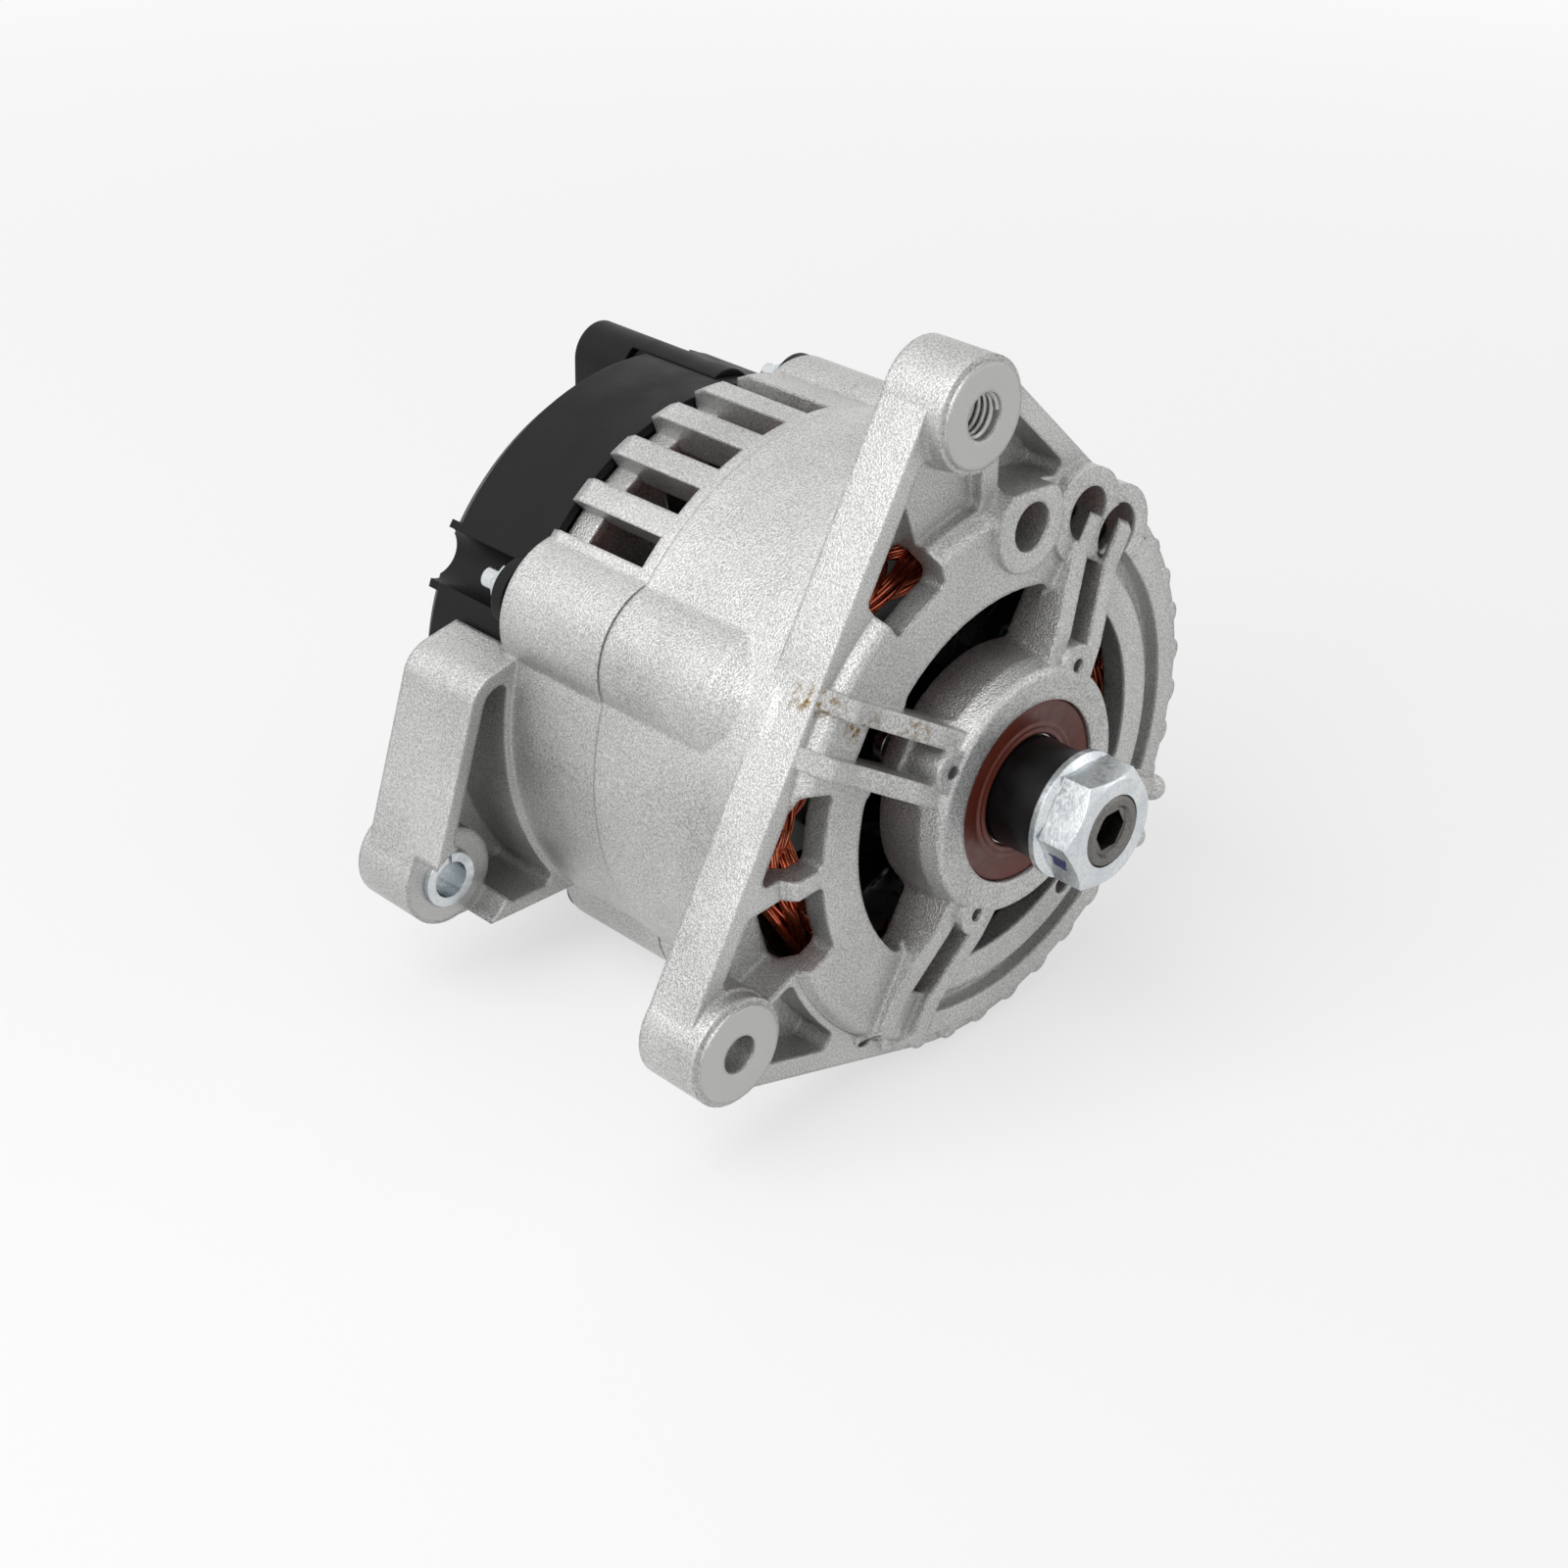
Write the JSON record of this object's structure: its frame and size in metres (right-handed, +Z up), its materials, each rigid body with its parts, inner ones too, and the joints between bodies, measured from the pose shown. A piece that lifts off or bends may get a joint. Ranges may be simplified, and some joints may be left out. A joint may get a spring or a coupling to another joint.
{
  "type": "engine alternator",
  "caption": "Belt-driven engine alternator with cast aluminium end brackets, claw-pole rotor, wound stator, plastic rear cover and pivot and adjusting ears.",
  "frame": {"origin": "centre of the shaft's end face, at the pulley end", "axes": "+Y along the shaft towards the rear cover, +Z up as the part lies in the picture, +X to the right seen from the pulley end"},
  "size_m": [0.154, 0.166, 0.162],
  "materials": {
    "cast_housing": "blasted casting",
    "lamination": "varnished sheet stack",
    "winding_wire": "enamelled copper wire",
    "cover_plastic": "moulded, lightly grained",
    "zinc_steel": "bright zinc plated",
    "bearing_steel": "ground and polished",
    "seal_rubber": "moulded, smooth",
    "machined_aluminium": "milled",
    "diode_case": "tinned",
    "stud_brass": "turned",
    "shaft_steel": "turned",
    "pole_iron": "forged, black varnish",
    "fan_steel": "pressed, black coated",
    "blackened_steel": "turned, black oxide",
    "ring_copper": "turned copper",
    "cage_steel": "pressed",
    "brush_carbon": "pressed carbon and copper"
  },
  "bodies": {
    "housing": {"drive_end_bracket": "cast_housing", "slip_ring_end_bracket": "cast_housing", "stator_core": "lamination", "front_windings": "winding_wire", "rear_windings": "winding_wire", "phase_leads": "winding_wire", "rear_cover": "cover_plastic", "cable_duct": "cover_plastic", "through_bolts": "zinc_steel", "cover_nuts": "zinc_steel", "front_bearing_outer": "bearing_steel", "front_bearing_seal": "seal_rubber", "bearing_retainer": "zinc_steel", "retainer_screws": "zinc_steel", "rear_bearing_outer": "bearing_steel", "rectifier_plate": "machined_aluminium", "diodes": "diode_case", "brush_holder": "cover_plastic", "output_stud": "stud_brass", "output_nut": "zinc_steel", "stud_insulator": "cover_plastic"},
    "rotor": {"rotor_shaft": "shaft_steel", "front_claw_pole": "pole_iron", "rear_claw_pole": "pole_iron", "field_coil": "winding_wire", "front_fan": "fan_steel", "rear_fan": "fan_steel", "spacer_sleeve": "blackened_steel", "lock_washer": "zinc_steel", "pulley_nut": "zinc_steel", "slip_ring_hub": "cover_plastic", "slip_rings": "ring_copper", "front_bearing_inner": "bearing_steel", "rear_bearing_inner": "bearing_steel"},
    "front_cage": {"front_bearing_cage": "cage_steel", "front_bearing_balls": "bearing_steel"},
    "rear_cage": {"rear_bearing_cage": "cage_steel", "rear_bearing_balls": "bearing_steel"},
    "brush_a": {"brush_front": "brush_carbon", "brush_spring_front": "zinc_steel"},
    "brush_b": {"brush_rear": "brush_carbon", "brush_spring_rear": "zinc_steel"},
    "bush": {"split_bush": "zinc_steel"}
  },
  "joints": [
    {"name": "rotor_spin", "type": "hinge", "parent": "housing", "child": "rotor", "pos_m": [0, 0, 0], "axis": [0, 1, 0], "continuous": true},
    {"name": "front_cage_spin", "type": "hinge", "parent": "housing", "child": "front_cage", "pos_m": [0, 0.0315, 0], "axis": [0, 1, 0], "continuous": true},
    {"name": "rear_cage_spin", "type": "hinge", "parent": "housing", "child": "rear_cage", "pos_m": [0, 0.1145, 0], "axis": [0, 1, 0], "continuous": true},
    {"name": "brush_a_slide", "type": "slide", "parent": "housing", "child": "brush_a", "axis": [0, 0, -1], "range_m": [0, 0.004], "stiffness_N_per_m": 150, "springref_m": -0.008, "deforming": ["brush_spring_front"]},
    {"name": "brush_b_slide", "type": "slide", "parent": "housing", "child": "brush_b", "axis": [0, 0, -1], "range_m": [0, 0.004], "stiffness_N_per_m": 150, "springref_m": -0.008, "deforming": ["brush_spring_rear"]},
    {"name": "bush_slide", "type": "slide", "parent": "housing", "child": "bush", "axis": [0, 1, 0], "range_m": [-0.0015, 0.0015]}
  ],
  "couplings": [
    {"joint": "front_cage_spin", "follows": "rotor_spin", "ratio": 0.3656},
    {"joint": "rear_cage_spin", "follows": "rotor_spin", "ratio": 0.38}
  ]
}
